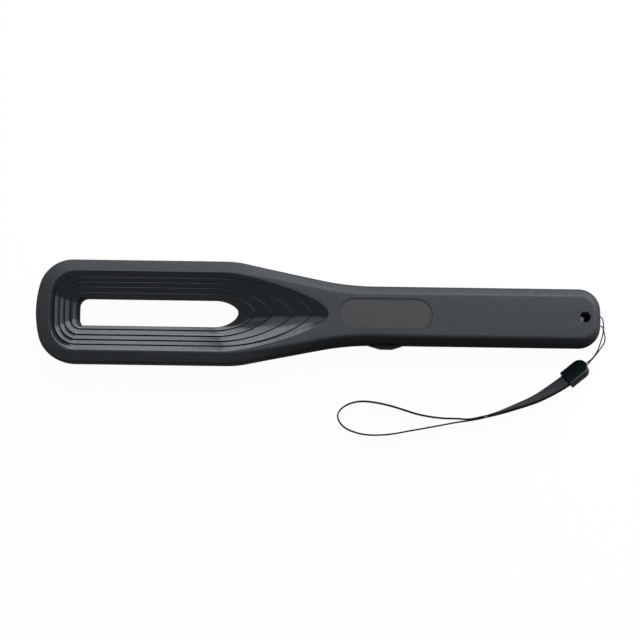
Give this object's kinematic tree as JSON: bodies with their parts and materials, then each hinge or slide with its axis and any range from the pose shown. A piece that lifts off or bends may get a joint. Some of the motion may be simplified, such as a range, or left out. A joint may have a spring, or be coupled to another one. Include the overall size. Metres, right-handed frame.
{
  "type": "handheld metal detector",
  "caption": "Hand-held security metal detector: a flat slotted search head, a neck, a bevelled grip with a side button, and a wrist strap on a string and clip.",
  "frame": {"origin": "centre of the wand's box without its strap, on the plane that the front face rests on", "axes": "+X runs along the wand from the search head to the grip's end, +Y across it, +Z out of its back face"},
  "size_m": [0.4045, 0.1214, 0.03],
  "materials": {
    "housing_plastic": "finely textured moulded plastic",
    "label_plastic": "smooth blank printed film, satin",
    "steel_screw": "plain zinc-plated steel",
    "former_plastic": "natural moulded plastic",
    "coil_copper": "enamelled copper wire",
    "board_laminate": "solder-masked laminate",
    "green_lens": "tinted clear lens",
    "red_lens": "tinted clear lens",
    "amber_lens": "tinted clear lens",
    "black_plastic": "moulded plastic",
    "steel_can": "drawn bright steel",
    "button_plastic": "moulded rubber-like plastic",
    "knob_plastic": "moulded plastic",
    "cell_body": "shrink sleeve over a drawn can",
    "foam": "closed-cell foam",
    "grey_wire": "insulated stranded wire",
    "red_wire": "insulated stranded wire",
    "clip_plastic": "glossy moulded plastic",
    "string_fibre": "braided synthetic string",
    "strap_fibre": "woven synthetic webbing"
  },
  "bodies": {
    "wand": {"rear_cover": "housing_plastic", "front_cover": "housing_plastic", "nameplate": "label_plastic", "housing_screw": "steel_screw", "coil_former": "former_plastic", "search_coil": "coil_copper", "circuit_board": "board_laminate", "board_screw_1": "steel_screw", "board_screw_2": "steel_screw", "board_screw_3": "steel_screw", "power_lamp": "green_lens", "alarm_lamp": "red_lens", "battery_lamp": "amber_lens", "buzzer": "black_plastic", "vibration_motor": "steel_can", "button_switch": "black_plastic", "slide_switch": "steel_can", "lithium_cell": "cell_body", "cell_cradle": "black_plastic", "cell_pad": "foam", "charge_board": "board_laminate", "charge_socket": "steel_can", "coil_lead": "grey_wire", "cell_lead": "red_wire", "charge_lead": "red_wire", "strap_clip": "clip_plastic", "strap_string": "string_fibre", "strap_webbing": "strap_fibre"},
    "side_button": {"side_button": "button_plastic"},
    "slide_knob": {"slide_knob": "knob_plastic"}
  },
  "joints": [
    {"name": "side_button_press", "type": "slide", "parent": "wand", "child": "side_button", "axis": [0, 1, 0], "range_m": [0, 0.0012], "stiffness_N_per_m": 400, "springref_m": -0.001},
    {"name": "slide_knob_slide", "type": "slide", "parent": "wand", "child": "slide_knob", "axis": [1, 0, 0], "range_m": [-0.002, 0.002]}
  ]
}
